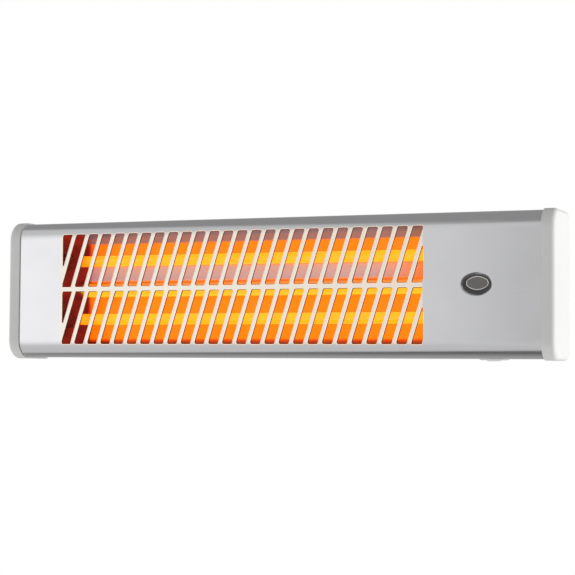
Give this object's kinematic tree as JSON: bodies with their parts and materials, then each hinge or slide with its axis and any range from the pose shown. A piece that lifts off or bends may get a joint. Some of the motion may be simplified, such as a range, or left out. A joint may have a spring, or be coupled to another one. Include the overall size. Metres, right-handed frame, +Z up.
{
  "type": "wall-mounted quartz tube heater",
  "caption": "Slim wall-mounted infrared heater with a slotted polished front, quartz tubes over reflectors, white end caps, a pull switch outlet and a tilting wall bracket.",
  "frame": {"origin": "centre of the wall-screw pattern, on the wall face of the bracket", "axes": "+X along the heater to its control end, -Y out of the wall into the room, +Z up"},
  "size_m": [0.5172, 0.1093, 0.1279],
  "materials": {
    "block": "terminal moulding",
    "brass": "bright",
    "bush": "white moulding",
    "cap": "satin white moulding",
    "casing": "polished sheet steel",
    "ceramic": "steatite",
    "coil": "glowing resistance wire",
    "fastener": "bright zinc",
    "inner_plastic": "moulded housing",
    "lens": "smoked clear lens",
    "mirror": "bright rolled reflector sheet",
    "neon": "small glass bulb",
    "quartz": "clear fused quartz tube",
    "rubber": "grommet",
    "wire_skin": "silicone sleeve",
    "zinc": "zinc-plated sheet"
  },
  "bodies": {
    "wall_mount": {"wall_bracket": "zinc", "pivot_bolts": "fastener", "pivot_nuts": "fastener", "pivot_washers": "fastener"},
    "heater": {"front_casing": "casing", "right_end_cap": "cap", "left_end_cap": "cap", "back_panel": "zinc", "back_panel_screws": "fastener", "end_cap_screws": "fastener", "right_tilt_ear": "zinc", "left_tilt_ear": "zinc", "ear_rivets": "fastener", "upper_quartz_tube": "quartz", "lower_quartz_tube": "quartz", "upper_heating_coil": "coil", "lower_heating_coil": "coil", "upper_left_ceramic": "ceramic", "lower_left_ceramic": "ceramic", "upper_right_ceramic": "ceramic", "lower_right_ceramic": "ceramic", "tube_terminal_pins": "fastener", "tube_terminal_nuts": "brass", "left_tube_holder": "zinc", "right_tube_holder": "zinc", "tube_holder_screws": "fastener", "upper_reflector": "mirror", "lower_reflector": "mirror", "indicator_lens": "lens", "indicator_holder": "inner_plastic", "neon_lamp": "neon", "pull_switch_body": "inner_plastic", "pull_switch_bush": "bush", "pull_switch_nut": "inner_plastic", "pull_return_spring": "fastener", "switch_cam_pin": "fastener", "terminal_block": "block", "terminal_clamp_screws": "brass", "earth_screw": "fastener", "earth_nut": "brass", "mains_inlet_grommet": "rubber", "lower_live_wire": "wire_skin", "lower_return_wire": "wire_skin", "neon_live_wire": "wire_skin", "neon_neutral_wire": "wire_skin", "supply_wire": "wire_skin", "upper_live_wire": "wire_skin", "upper_return_wire": "wire_skin"},
    "pull": {"pull_rod": "bush"},
    "cam": {"switch_cam": "block"}
  },
  "joints": [
    {"name": "tilt", "type": "hinge", "parent": "wall_mount", "child": "heater", "pos_m": [0, -0.03, 0], "axis": [1, 0, 0], "range_deg": [0, 40]},
    {"name": "pull_stroke", "type": "slide", "parent": "heater", "child": "pull", "axis": [0, 0, -1], "range_m": [0, 0.008], "stiffness_N_per_m": 250, "springref_m": -0.006, "deforming": ["pull_return_spring"]},
    {"name": "cam_turn", "type": "hinge", "parent": "heater", "child": "cam", "pos_m": [0.19225, -0.08, -0.0416], "axis": [1, 0, 0], "continuous": true}
  ]
}
